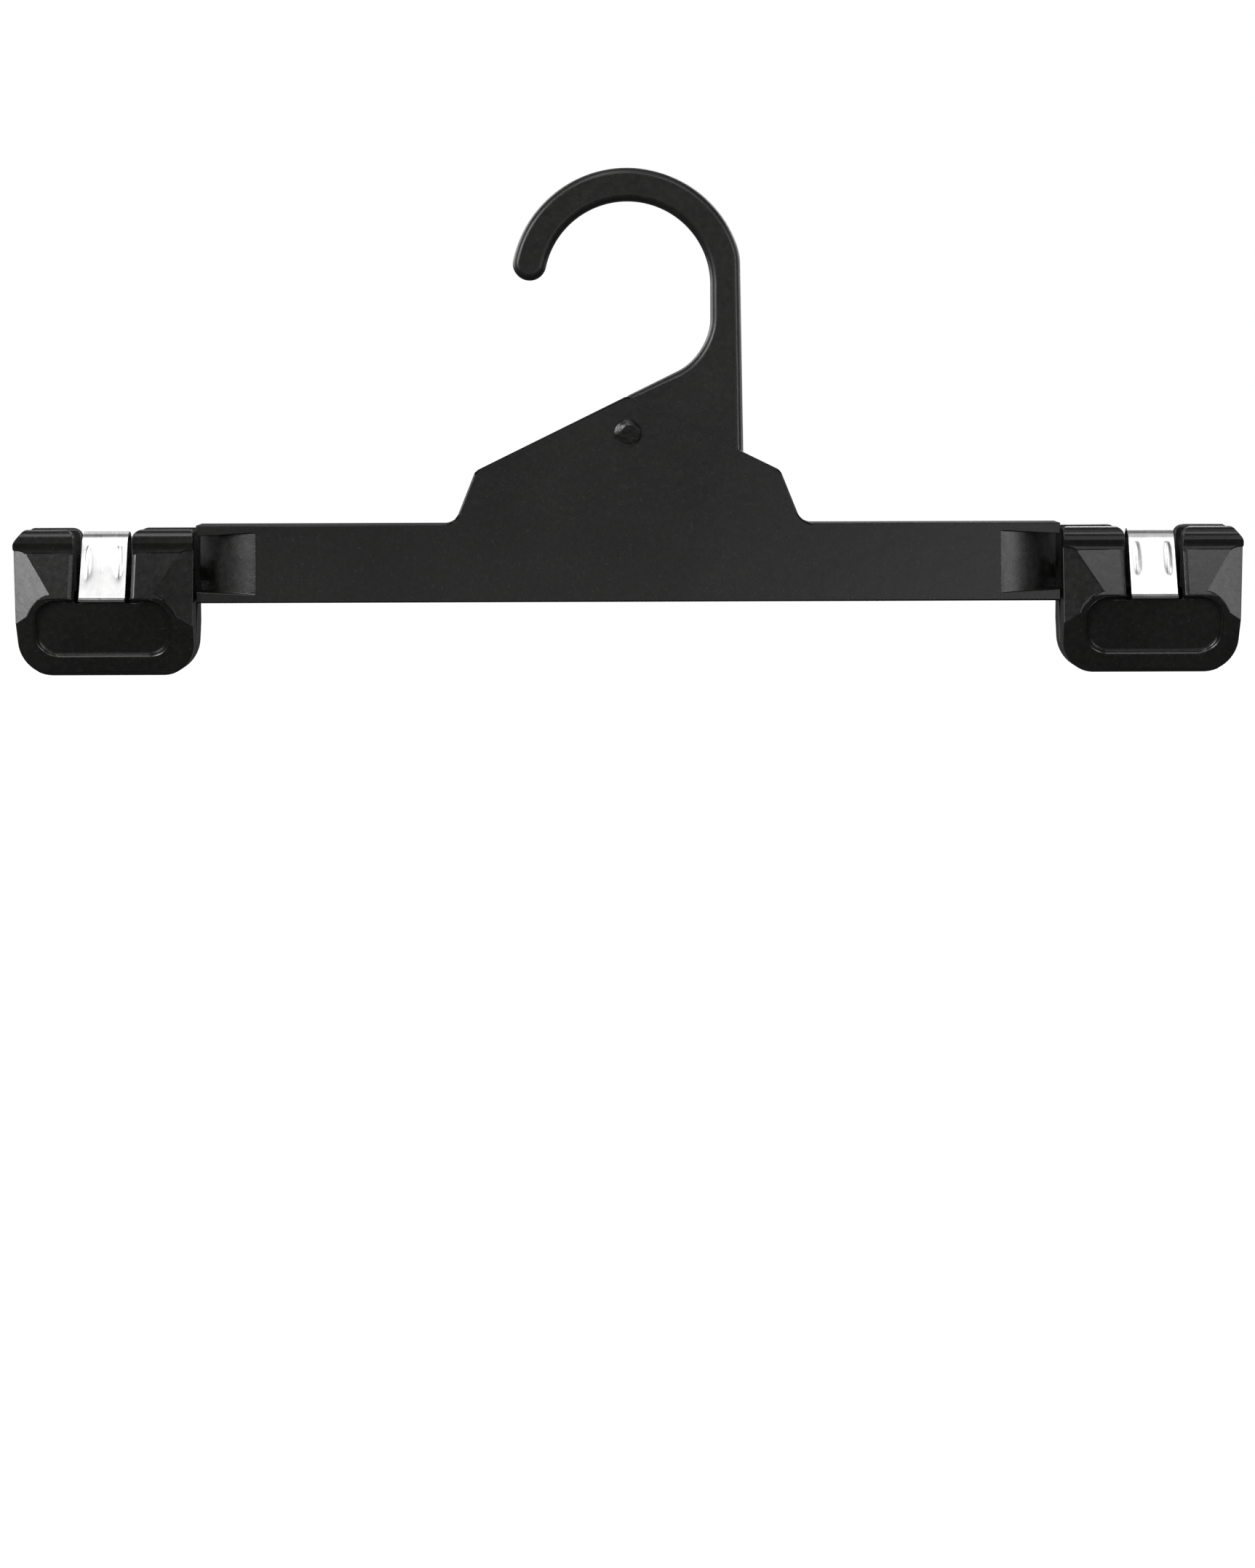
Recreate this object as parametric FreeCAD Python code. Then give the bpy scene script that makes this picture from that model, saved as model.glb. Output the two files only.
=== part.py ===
import FreeCAD, Part
import math
import os

Vector = FreeCAD.Vector

# Skirt hanger: a moulded body with its rail hook and two rear jaws, two loose front jaws
# that rock on the rear ones, and a sheet-metal spring astride each pair of jaws.
# Millimetres, X to the right, Y to the back, Z up. The origin is the rail's centre in the hook.

# Rail hook and neck
rail_radius = 17.3
hook_width = 6.9
hook_depth = 5.6
hook_edge_round = 1.6
hook_tip_angle = 168.0
neck_bend_angle = 20.0
neck_bend_radius = 12.0
neck_foot_reach = 24.0
throat_radius = 12.0
roof_bite = 1.2

# Peaked middle of the body
peak_drop = 23.2
peak_round = 1.6
shoulder_half_width = 31.5
shoulder_drop = 38.65
shoulder_round = 2.0
flank_foot_half_width = 35.9
flank_foot_round = 3.5

# Bar, a channel that is open at the back and stiffened by upright ribs
bar_top_drop = 49.65
bar_height = 16.1
bar_depth = 9.0
bar_wall = 2.1
bar_edge_round = 1.2
rib_thickness = 1.4
rib_setback = 1.5
ribs_per_side = 5

# Stub of the moulding gate on the front of the body
gate_drop = 30.9
gate_foot_radius = 2.8
gate_top_radius = 2.2
gate_height = 0.6

# Ends of the bar, where the front wall curves back behind the front jaw
ramp_length = 12.4
ramp_start_lean = 15.0
ramp_end_lean = 40.0
flange_root = 1.6
flange_tip = 2.3
end_wall = 2.0

# Pinch clips, seen from the front
hanger_width = 254.0
jaw_width = 37.3
jaw_height = 30.3
clip_top_step = 0.8
jaw_side_clearance = 0.4
jaw_outer_lean = 1.4
ear_cut_across = 2.3
ear_cut_drop = 2.8
ear_cut_round = 1.1
ear_inner_round = 2.0
ear_bar_round = 0.9
foot_outer_round = 7.2
foot_bar_round = 6.8
notch_width = 12.1
notch_drop = 14.5
notch_foot_round = 0.6
seat_tongue_width = 8.6
seat_tongue_drop = 13.2
seat_tongue_round = 0.3

# Section of a jaw, as reach from the clip's middle plane and drop from the clip's top
ear_gap_half = 3.5
ear_back_round = 1.3
roll_reach = 6.5
roll_round = 1.4
roll_foot_drop = 2.8
roll_foot_round = 0.9
valley_reach = 5.75
valley_drop = 4.2
valley_round = 2.0
ridge_reach = 8.8
ridge_drop = 14.0
ridge_round = 0.8
toe_reach = 3.3
toe_round = 1.3
lip_gap_half = 0.1
lip_height = 4.8
lip_round = 0.6
waist_gap_half = 2.0
waist_drop = 11.0

# Facets that slope away to both sides of a jaw
hip_head_inset = 3.0
hip_head_drop = 5.0
hip_foot_inset = 8.8
crease_foot_drop = 20.0

# Thumb dish and hollow of a jaw
dish_width = 27.8
dish_height = 11.7
dish_drop = 14.6
dish_depth = 1.5
dish_foot_depth = 0.8
dish_round = 4.8
dish_rim = 1.6
jaw_wall = 1.6
jaw_side_wall = 1.9
hollow_drop = 12.8

# Serrated grip of a lip
groove_count = 3
groove_pitch = 1.2
groove_depth = 0.45

# Rocking seat between the two jaws
pivot_drop = 9.5
bead_radius = 1.6
bead_clearance = 0.05
bead_end_inset = 1.2
cradle_half_height = 2.9
cradle_mouth_share = 0.5
cradle_root_reach = 4.2

# Spring strip
spring_width = 9.5
spring_thickness = 0.5
spring_top_drop = 0.6
spring_bend_radius = 2.9
spring_knee_reach = 7.0
spring_knee_drop = 14.1
spring_knee_round = 0.4
spring_toe_length = 0.9
spring_toe_flare = 35.0
spring_clearance = 0.15

# Every cut runs this far past the faces that it opens
cut_overrun = 2.0

# Places worked out from the sizes above
hook_outer_radius = rail_radius + hook_width
roof_slope = (shoulder_drop - peak_drop) / shoulder_half_width
bar_top = -bar_top_drop
bar_bottom = bar_top - bar_height
bar_front = -bar_depth / 2
jaw_half = jaw_width / 2
clip_centre = hanger_width / 2 - jaw_half
clip_top = bar_top - clip_top_step
flange_end = clip_centre - jaw_half - jaw_side_clearance
ramp_start = flange_end - ramp_length
ramp_radius = ramp_length / (
    math.sin(math.radians(ramp_end_lean)) - math.sin(math.radians(ramp_start_lean)))
ramp_floor = bar_front + ramp_radius * (
    math.cos(math.radians(ramp_start_lean)) - math.cos(math.radians(ramp_end_lean)))
notch_half = notch_width / 2
tongue_half = seat_tongue_width / 2
lip_top_drop = jaw_height - lip_height
face_taper = (ridge_reach - toe_reach) / (jaw_height - ridge_drop)
slope_rise = (ridge_reach - valley_reach) / (ridge_drop - valley_drop)

# Lean of a spring leg: it leaves the bend as a tangent and runs straight to its knee
bend_centre_drop = spring_top_drop + spring_thickness / 2 + spring_bend_radius
knee_below_bend = spring_knee_drop - bend_centre_drop
knee_distance = math.hypot(spring_knee_reach, knee_below_bend)
knee_bearing = math.atan2(spring_knee_reach, knee_below_bend)
leg_lean = knee_bearing - math.asin(spring_bend_radius / knee_distance)
leg_apex_drop = spring_knee_drop - spring_knee_reach / math.tan(leg_lean)


def roof_height(across):
    return -peak_drop - abs(across) * roof_slope


def face_reach(drop):
    return ridge_reach - (drop - ridge_drop) * face_taper


def slope_reach(drop):
    return valley_reach + (drop - valley_drop) * slope_rise


def slot_floor_reach(drop):
    leg_reach = (drop - leg_apex_drop) * math.tan(leg_lean)
    return leg_reach - (spring_thickness / 2 + spring_clearance) / math.cos(leg_lean)


def dish_floor_reach(drop):
    share = (drop - dish_drop) / dish_height
    return face_reach(drop) - dish_depth - (dish_foot_depth - dish_depth) * share


def front_point(across, up):
    return Vector(across, bar_front, up)


def clip_point(across, reach, drop):
    return Vector(clip_centre + across, -reach, clip_top - drop)


def ring_point(radius, angle):
    turn = math.radians(angle)
    return Vector(radius * math.cos(turn), -hook_depth / 2, radius * math.sin(turn))


def plate_point(across, up):
    return Vector(across, -hook_depth / 2, up)


def rounded_corner(before, corner, after, radius):
    towards_before = (before - corner).normalize()
    towards_after = (after - corner).normalize()
    half_angle = towards_before.getAngle(towards_after) / 2
    trim = radius / math.tan(half_angle)
    inward = (towards_before + towards_after).normalize()
    middle = corner + inward * (radius / math.sin(half_angle) - radius)
    return corner + towards_before * trim, middle, corner + towards_after * trim


def rounded_wire(corners, place):
    points = [place(across, up) for across, up, radius in corners]
    starts, ends, edges = [], [], []
    count = len(corners)
    for index, (across, up, radius) in enumerate(corners):
        point = points[index]
        if radius == 0:
            starts.append(point)
            ends.append(point)
            continue
        start, middle, end = rounded_corner(points[index - 1], point, points[(index + 1) % count], radius)
        edges.append(Part.Arc(start, middle, end).toShape())
        starts.append(start)
        ends.append(end)
    for index in range(count):
        edges.append(Part.makeLine(ends[index], starts[(index + 1) % count]))
    return Part.Wire(Part.__sortEdges__(edges))


def prism(wire, direction):
    return Part.Face(wire).extrude(direction)


def polygon_prism(points, direction):
    return prism(Part.makePolygon(points + points[:1]), direction)


def box_between(low, high):
    size = high - low
    return Part.makeBox(size.x, size.y, size.z, low)


def mirrored_across(shape):
    return shape.mirror(Vector(0, 0, 0), Vector(1, 0, 0))


def mirrored_to_back(shape):
    return shape.mirror(Vector(0, 0, 0), Vector(0, 1, 0))


def with_mirror(shape):
    return [shape, mirrored_across(shape)]


# Rail hook, neck and gusset as one plate with rounded edges
def hook_plate():
    tip_turn = math.radians(hook_tip_angle)
    tip_middle = ring_point(rail_radius + hook_width / 2, hook_tip_angle)
    tip_end = tip_middle + Vector(-math.sin(tip_turn), 0, math.cos(tip_turn)) * (hook_width / 2)
    tip_inner = ring_point(rail_radius, hook_tip_angle)
    tip_outer = ring_point(hook_outer_radius, hook_tip_angle)
    neck_foot = plate_point(neck_foot_reach, roof_height(neck_foot_reach) - roof_bite)
    bend_centre = ring_point(hook_outer_radius - neck_bend_radius, neck_bend_angle)
    to_foot = neck_foot - bend_centre
    foot_bearing = math.degrees(math.atan2(to_foot.z, to_foot.x))
    bend_end_angle = foot_bearing + math.degrees(math.acos(neck_bend_radius / to_foot.Length))

    def bend_point(angle):
        turn = math.radians(angle)
        return bend_centre + Vector(math.cos(turn), 0, math.sin(turn)) * neck_bend_radius

    bend_start = bend_point(neck_bend_angle)
    bend_middle = bend_point((neck_bend_angle + bend_end_angle) / 2)
    bend_end = bend_point(bend_end_angle)
    peak = plate_point(0, -peak_drop)
    peak_foot = plate_point(0, -peak_drop - roof_bite)
    inner_end = ring_point(rail_radius, 0)
    throat = plate_point(rail_radius, -peak_drop + rail_radius * roof_slope)
    throat_start, throat_middle, throat_end = rounded_corner(inner_end, throat, peak, throat_radius)
    edges = [
        Part.Arc(tip_inner, ring_point(rail_radius, 90), inner_end).toShape(),
        Part.makeLine(inner_end, throat_start),
        Part.Arc(throat_start, throat_middle, throat_end).toShape(),
        Part.makeLine(throat_end, peak),
        Part.makeLine(peak, peak_foot),
        Part.makeLine(peak_foot, neck_foot),
        Part.makeLine(neck_foot, bend_end),
        Part.Arc(bend_end, bend_middle, bend_start).toShape(),
        Part.Arc(bend_start, ring_point(hook_outer_radius, 90), tip_outer).toShape(),
        Part.Arc(tip_outer, tip_end, tip_inner).toShape(),
    ]
    plate = prism(Part.Wire(edges), Vector(0, hook_depth, 0))

    def is_outer_edge(edge):
        low, high = edge.ParameterRange
        middle = edge.valueAt((low + high) / 2)
        along_face = abs(abs(middle.y) - hook_depth / 2) < roof_bite / 4
        return along_face and middle.z > roof_height(middle.x) - roof_bite / 4

    return plate.makeFillet(hook_edge_round, [edge for edge in plate.Edges if is_outer_edge(edge)])


# Outline of the peak and the bar, to a chosen half length of the bar
def body_corners(half_length):
    right = [
        (shoulder_half_width, -shoulder_drop, shoulder_round),
        (flank_foot_half_width, bar_top, flank_foot_round),
        (half_length, bar_top, 0),
        (half_length, bar_bottom, 0),
    ]
    left = [(-across, up, radius) for across, up, radius in reversed(right)]
    return [(0, -peak_drop, peak_round)] + right + left


def body_shell():
    block = prism(rounded_wire(body_corners(flange_end), front_point), Vector(0, bar_depth, 0))

    def is_front_rim(edge):
        low, high = edge.ParameterRange
        middle = edge.valueAt((low + high) / 2)
        on_front = abs(middle.y - bar_front) < bar_edge_round / 4
        return on_front and abs(middle.x) < flange_end - bar_edge_round / 4

    block = block.makeFillet(bar_edge_round, [edge for edge in block.Edges if is_front_rim(edge)])
    hollow_points = [front_point(across, up) for across, up, radius in body_corners(ramp_start + bar_wall)]
    hollow_wire = Part.makePolygon(hollow_points + hollow_points[:1])
    hollow_face = Part.Face(hollow_wire).makeOffset2D(-bar_wall, 2)
    hollow_face.translate(Vector(0, bar_wall, 0))
    hollow = hollow_face.extrude(Vector(0, bar_depth, 0))
    ribs = body_ribs().common(hollow)
    return block.cut([hollow] + with_mirror(ramp_window())).fuse(ribs)


# Opening at the right end of the bar, between flanges that thicken towards the clip
def ramp_window():
    points = [
        front_point(ramp_start, bar_bottom + flange_root),
        front_point(flange_end, bar_bottom + flange_tip),
        front_point(flange_end, bar_top - flange_tip),
        front_point(ramp_start, bar_top - flange_root),
    ]
    return polygon_prism(points, Vector(0, bar_depth, 0))


# Upright ribs across the open back, evenly spaced along the bar
def body_ribs():
    pitch = 2 * ramp_start / (2 * ribs_per_side + 1)
    ribs = []
    for index in range(2 * ribs_per_side):
        middle = (index + 1) * pitch - ramp_start
        low = Vector(middle - rib_thickness / 2, bar_front, bar_bottom)
        high = Vector(middle + rib_thickness / 2, bar_depth / 2 - rib_setback, -peak_drop)
        ribs.append(box_between(low, high))
    return Part.makeCompound(ribs)


# Curved web at the right end of the bar, from the front wall back to the rear jaw
def ramp_web():
    foot = bar_bottom + bar_edge_round
    start_turn = math.radians(ramp_start_lean)
    middle_turn = math.radians((ramp_start_lean + ramp_end_lean) / 2)
    end_turn = math.radians(ramp_end_lean)

    def web_point(turn, depth):
        across = ramp_start + ramp_radius * (math.sin(turn) - math.sin(start_turn))
        back = bar_front + ramp_radius * (math.cos(start_turn) - math.cos(turn))
        return Vector(across, back + depth, foot)

    edges = [
        Part.Arc(web_point(start_turn, 0), web_point(middle_turn, 0), web_point(end_turn, 0)).toShape(),
        Part.makeLine(web_point(end_turn, 0), web_point(end_turn, bar_wall)),
        Part.Arc(web_point(end_turn, bar_wall), web_point(middle_turn, bar_wall),
                 web_point(start_turn, bar_wall)).toShape(),
        Part.makeLine(web_point(start_turn, bar_wall), web_point(start_turn, 0)),
    ]
    return prism(Part.Wire(edges), Vector(0, 0, bar_height - 2 * bar_edge_round))


# Wall at the right end of the channel, and the root that carries the rear jaw
def bar_end():
    wall_start = flange_end - end_wall
    wall = box_between(Vector(wall_start, ramp_floor, bar_bottom), Vector(flange_end, -bar_front, bar_top))
    root_end = clip_centre - jaw_half + jaw_side_wall
    root_width = root_end - wall_start
    section = mirrored_to_back(prism(jaw_section(wall_start - clip_centre), Vector(root_width, 0, 0)))
    reach = box_between(Vector(wall_start, bar_front, bar_bottom), Vector(root_end, -bar_front, bar_top))
    return wall.fuse(section.common(reach))


# Closed section of a jaw in the plane that lies across from the clip's centre
def jaw_section(across):
    corners = [
        (ear_gap_half, 0, ear_back_round),
        (roll_reach, 0, roll_round),
        (roll_reach, roll_foot_drop, roll_foot_round),
        (valley_reach, valley_drop, valley_round),
        (ridge_reach, ridge_drop, ridge_round),
        (toe_reach, jaw_height, toe_round),
        (lip_gap_half, jaw_height, lip_round),
        (lip_gap_half, lip_top_drop, 0),
        (waist_gap_half, waist_drop, 0),
    ]
    return rounded_wire(corners, lambda reach, drop: clip_point(across, reach, drop))


# Front view of the right jaw: two ears with the spring's notch between them, and a tongue behind its toe
def jaw_outline():
    corners = [
        (jaw_half - ear_cut_across, 0, ear_cut_round),
        (jaw_half, ear_cut_drop, ear_cut_round),
        (jaw_half - jaw_outer_lean, jaw_height, foot_outer_round),
        (-jaw_half, jaw_height, foot_bar_round),
        (-jaw_half, 0, ear_bar_round),
        (-notch_half, 0, ear_inner_round),
        (-notch_half, notch_drop, notch_foot_round),
        (-tongue_half, notch_drop, notch_foot_round),
        (-tongue_half, seat_tongue_drop, seat_tongue_round),
        (tongue_half, seat_tongue_drop, seat_tongue_round),
        (tongue_half, notch_drop, notch_foot_round),
        (notch_half, notch_drop, notch_foot_round),
        (notch_half, 0, ear_inner_round),
    ]
    return rounded_wire(corners, lambda across, drop: clip_point(across, ridge_reach, drop))


# What lies in front of a facet that falls away towards one side of the jaw, up to the dish's rim
def hip_cutter(side):
    head_across = jaw_half - hip_head_inset
    foot_across = jaw_half - hip_foot_inset
    foot = clip_point(side * foot_across, ridge_reach, ridge_drop)
    head = clip_point(side * head_across, slope_reach(hip_head_drop), hip_head_drop)
    crease = clip_point(side * jaw_half, face_reach(crease_foot_drop), crease_foot_drop)
    normal = (head - foot).cross(crease - foot)

    def facet_point(across, drop):
        point = clip_point(side * across, 0, drop)
        point.y = foot.y - ((point.x - foot.x) * normal.x + (point.z - foot.z) * normal.z) / normal.y
        return point

    far = jaw_half + cut_overrun
    points = [
        facet_point(0, valley_drop),
        facet_point(far, valley_drop),
        facet_point(far, jaw_height),
        facet_point(0, jaw_height),
    ]
    return polygon_prism(points, Vector(0, -ridge_reach, 0)).cut(dish_column(dish_rim))


# Sunk floor under the spring's leg, down into the dish
def slot_cutter():
    end_drop = dish_drop + cut_overrun
    points = [
        clip_point(-notch_half, slot_floor_reach(0), 0),
        clip_point(-notch_half, slot_floor_reach(end_drop), end_drop),
        clip_point(-notch_half, ridge_reach + cut_overrun, end_drop),
        clip_point(-notch_half, ridge_reach + cut_overrun, 0),
    ]
    return polygon_prism(points, Vector(notch_width, 0, 0))


# Oblong column around the thumb dish, wider than the dish by a margin all round
def dish_column(margin):
    half = dish_width / 2 + margin
    head_drop = dish_drop - margin
    foot_drop = dish_drop + dish_height + margin
    corner_round = dish_round + margin
    corners = [
        (half, head_drop, corner_round),
        (half, foot_drop, corner_round),
        (-half, foot_drop, corner_round),
        (-half, head_drop, corner_round),
    ]
    front = ridge_reach + cut_overrun
    outline = rounded_wire(corners, lambda across, drop: clip_point(across, front, drop))
    return prism(outline, Vector(0, front, 0))


# Thumb dish, sunk below the lower face and shallower towards the lip
def dish_cutter():
    half = dish_width / 2
    foot_drop = dish_drop + dish_height
    front = ridge_reach + cut_overrun
    points = [
        clip_point(-half, dish_floor_reach(dish_drop), dish_drop),
        clip_point(-half, dish_floor_reach(foot_drop), foot_drop),
        clip_point(-half, front, foot_drop),
        clip_point(-half, front, dish_drop),
    ]
    return dish_column(0).common(polygon_prism(points, Vector(dish_width, 0, 0)))


# Hollow behind the dish, open towards the other jaw
def hollow_cutter():
    half = jaw_half - jaw_side_wall
    points = [
        clip_point(-half, -cut_overrun, hollow_drop),
        clip_point(-half, slot_floor_reach(hollow_drop) - jaw_wall, hollow_drop),
        clip_point(-half, dish_floor_reach(dish_drop) - jaw_wall, dish_drop),
        clip_point(-half, dish_floor_reach(lip_top_drop) - jaw_wall, lip_top_drop),
        clip_point(-half, -cut_overrun, lip_top_drop),
    ]
    return polygon_prism(points, Vector(2 * half, 0, 0))


def groove_cutters():
    half_height = groove_pitch / 2
    grooves = []
    for index in range(groove_count):
        drop = jaw_height - lip_height / 2 + (index - (groove_count - 1) / 2) * groove_pitch
        points = [
            clip_point(-jaw_half, 0, drop - half_height),
            clip_point(-jaw_half, lip_gap_half + groove_depth, drop),
            clip_point(-jaw_half, 0, drop + half_height),
        ]
        grooves.append(polygon_prism(points, Vector(jaw_width, 0, 0)))
    return grooves


# The right jaw without its rocking seat, in the place of the front one
def jaw_shell():
    solid = prism(jaw_section(-jaw_half), Vector(jaw_width, 0, 0))
    solid = solid.common(prism(jaw_outline(), Vector(0, ridge_reach, 0)))
    cutters = [hip_cutter(1), hip_cutter(-1), slot_cutter(), dish_cutter(), hollow_cutter()]
    return solid.cut(cutters + groove_cutters())


# Stretches of the rocking seat, one through each ear
def seat_spans():
    low = notch_half + bead_end_inset
    high = jaw_half - bead_end_inset
    return [(low, high), (-high, -low)]


def seat_cylinder(radius, low, high):
    return Part.makeCylinder(radius, high - low, clip_point(low, 0, pivot_drop), Vector(1, 0, 0))


def front_jaw():
    cradle_radius = bead_radius + bead_clearance
    blocks, bores = [], []
    for low, high in seat_spans():
        blocks.append(box_between(
            clip_point(low, cradle_root_reach, pivot_drop + cradle_half_height),
            clip_point(high, cradle_radius * cradle_mouth_share, pivot_drop - cradle_half_height),
        ))
        bores.append(seat_cylinder(cradle_radius, low, high))
    return jaw_shell().fuse(blocks).cut(bores)


def rear_jaw():
    beads = []
    for low, high in seat_spans():
        beads.append(seat_cylinder(bead_radius, low, high))
        beads.append(box_between(
            clip_point(low, 0, pivot_drop + bead_radius),
            clip_point(high, -cradle_root_reach, pivot_drop - bead_radius),
        ))
    return mirrored_to_back(jaw_shell()).fuse(beads)


# One bent strip: a tight bend above, two spreading legs, and a toe flared off the jaw
def spring_strip():
    leg = Vector(math.sin(leg_lean), math.cos(leg_lean), 0)
    toe_lean = leg_lean + math.radians(spring_toe_flare)
    toe = Vector(math.sin(toe_lean), math.cos(toe_lean), 0)
    leg_normal = Vector(leg.y, -leg.x, 0)
    toe_normal = Vector(toe.y, -toe.x, 0)
    half = spring_thickness / 2
    mitre = (leg_normal + toe_normal) * (half / (1 + leg_normal.dot(toe_normal)))
    knee = Vector(spring_knee_reach, spring_knee_drop, 0)
    tip = knee + toe * spring_toe_length
    apex_offset = half / math.sin(leg_lean)

    def corner(point, radius):
        return (point.x, point.y, radius)

    outer = [corner(knee + mitre, spring_knee_round), corner(tip + toe_normal * half, 0)]
    inner = [corner(tip - toe_normal * half, 0), corner(knee - mitre, spring_knee_round)]
    half_way = outer + inner
    corners = [(0, leg_apex_drop - apex_offset, spring_bend_radius + half)]
    corners += half_way
    corners.append((0, leg_apex_drop + apex_offset, spring_bend_radius - half))
    corners += [(-reach, drop, radius) for reach, drop, radius in reversed(half_way)]
    wire = rounded_wire(corners, lambda reach, drop: clip_point(-spring_width / 2, reach, drop))
    return prism(wire, Vector(spring_width, 0, 0))


def gate_stub():
    foot = Vector(0, bar_front, -gate_drop)
    return Part.makeCone(gate_foot_radius, gate_top_radius, gate_height, foot, Vector(0, -1, 0))


def hanger_body():
    pieces = [hook_plate(), gate_stub()]
    for right_piece in (ramp_web(), bar_end(), rear_jaw()):
        pieces += with_mirror(right_piece)
    return body_shell().fuse(pieces).removeSplitter()


right_jaw = front_jaw().removeSplitter()
right_spring = spring_strip()
nodes = {
    "hanger_body": hanger_body(),
    "left_clip_jaw": mirrored_across(right_jaw),
    "right_clip_jaw": right_jaw,
    "left_clip_spring": mirrored_across(right_spring),
    "right_clip_spring": right_spring,
}
os.makedirs("parts", exist_ok=True)
for name, shape in nodes.items():
    solids = shape.Solids
    print(name, "solids", len(solids), "valid", shape.isValid(), "volume", round(shape.Volume, 1))
    solids[0].exportStep("parts/" + name + ".step")
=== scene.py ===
import bmesh
import bpy
import math
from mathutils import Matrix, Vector


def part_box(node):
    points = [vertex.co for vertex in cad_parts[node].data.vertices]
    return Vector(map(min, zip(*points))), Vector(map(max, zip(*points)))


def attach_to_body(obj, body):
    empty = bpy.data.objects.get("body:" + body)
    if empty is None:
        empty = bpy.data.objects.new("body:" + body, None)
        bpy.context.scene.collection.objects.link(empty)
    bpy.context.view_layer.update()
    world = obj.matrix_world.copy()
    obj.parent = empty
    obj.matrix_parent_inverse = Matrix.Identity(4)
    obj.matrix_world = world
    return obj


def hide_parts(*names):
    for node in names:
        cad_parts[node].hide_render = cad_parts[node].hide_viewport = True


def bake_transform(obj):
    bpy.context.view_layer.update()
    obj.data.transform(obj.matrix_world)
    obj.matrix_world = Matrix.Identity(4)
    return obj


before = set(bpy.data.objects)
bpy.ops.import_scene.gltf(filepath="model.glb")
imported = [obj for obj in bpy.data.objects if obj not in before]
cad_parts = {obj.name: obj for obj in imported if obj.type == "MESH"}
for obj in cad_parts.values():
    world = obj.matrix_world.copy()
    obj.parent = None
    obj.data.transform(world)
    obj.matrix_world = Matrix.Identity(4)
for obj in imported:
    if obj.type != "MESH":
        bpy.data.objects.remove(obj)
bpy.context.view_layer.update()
print("frame loaded:", sorted(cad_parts))

mm = 0.001                                      # pieces are modelled in millimetres first
spare = 2.0                                     # cutting pieces run this far past what they cut
arcStep = 6.0                                   # most degrees between two faces of a rounded corner
hair = 1e-4                                     # places closer than this are taken as one
weldGap = 0.03                                  # corners this close are merged before edges are rounded
flatTurn = 0.5                                  # faces that differ by fewer degrees become one
flatWeight = 80                                 # how far large faces lead the shading of small ones
facing = 0.9                                    # least share of a face's normal along the way it looks
toLeft, toBack = (-1, 1, 1), (1, -1, 1)         # factors that mirror a piece


# Small modelling helpers

def deselectAll():
    if bpy.context.mode != "OBJECT":
        bpy.ops.object.mode_set(mode="OBJECT")
    bpy.ops.object.select_all(action="DESELECT")


def makeActive(obj):
    deselectAll()
    obj.select_set(True)
    bpy.context.view_layer.objects.active = obj


def edit(obj):
    makeActive(obj)
    bpy.ops.object.mode_set(mode="EDIT")


def editAll(obj):
    edit(obj)
    bpy.ops.mesh.select_all(action="SELECT")


def pick(obj, kind, test):                      # selects the vertices, edges or faces that pass a test
    bpy.ops.mesh.select_mode(type=kind)
    bpy.ops.mesh.select_all(action="DESELECT")
    mesh = bmesh.from_edit_mesh(obj.data)
    for item in {"VERT": mesh.verts, "EDGE": mesh.edges, "FACE": mesh.faces}[kind]:
        if test(item):
            item.select_set(True)
    mesh.select_flush_mode()
    bmesh.update_edit_mesh(obj.data)


def newPlane(name, size=1):
    deselectAll()
    bpy.ops.mesh.primitive_plane_add(size=size)
    bpy.context.object.name = name
    return bpy.context.object


def placed(name, scale=(1, 1, 1)):              # the new primitive, with its place and size in its mesh
    obj = bpy.context.object
    obj.name = name
    obj.scale = scale
    bpy.ops.object.transform_apply(location=True, rotation=True, scale=True)
    return obj


def roundCorner(obj, before, corner, after, radius):
    between = (before - corner).angle(after - corner)
    segments = max(2, math.ceil(math.degrees(math.pi - between) / arcStep))
    pick(obj, "VERT", lambda vert: (vert.co - corner).length < hair)
    bpy.ops.mesh.bevel(affect="VERTICES", offset=radius / math.tan(between / 2), segments=segments,
                       clamp_overlap=False)


def drawSheet(name, corners, place):            # a flat outline, drawn corner by corner, then rounded
    points = [Vector(place(a, b)) for a, b, radius in corners]
    obj = newPlane(name)
    edit(obj)
    bpy.ops.mesh.select_mode(type="VERT")
    bpy.ops.mesh.select_all(action="SELECT")
    bpy.ops.mesh.merge(type="CENTER")
    bpy.ops.transform.translate(value=points[0])
    for before, after in zip(points, points[1:]):
        bpy.ops.mesh.extrude_vertices_move(TRANSFORM_OT_translate={"value": after - before})
    bpy.ops.mesh.select_all(action="SELECT")
    bpy.ops.mesh.edge_face_add()
    for index, (a, b, radius) in enumerate(corners):
        if radius > 0:
            roundCorner(obj, points[index - 1], points[index], points[(index + 1) % len(points)], radius)
    return obj


def thicken(obj, step):                         # the sheet becomes a closed solid
    bpy.ops.mesh.select_all(action="SELECT")
    bpy.ops.mesh.extrude_region_move(TRANSFORM_OT_translate={"value": step})
    bpy.ops.mesh.select_all(action="SELECT")
    bpy.ops.mesh.normals_make_consistent(inside=False)
    bpy.ops.object.mode_set(mode="OBJECT")
    return obj


def block(name, low, high):
    low, high = Vector(low), Vector(high)
    deselectAll()
    bpy.ops.mesh.primitive_cube_add(size=1, location=(low + high) / 2)
    return placed(name, high - low)


def addModifier(obj, kind, settings):
    makeActive(obj)
    modifier = obj.modifiers.new(kind.lower(), kind)
    for key, value in settings.items():
        setattr(modifier, key, value)
    bpy.ops.object.modifier_apply(modifier=modifier.name)


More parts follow.
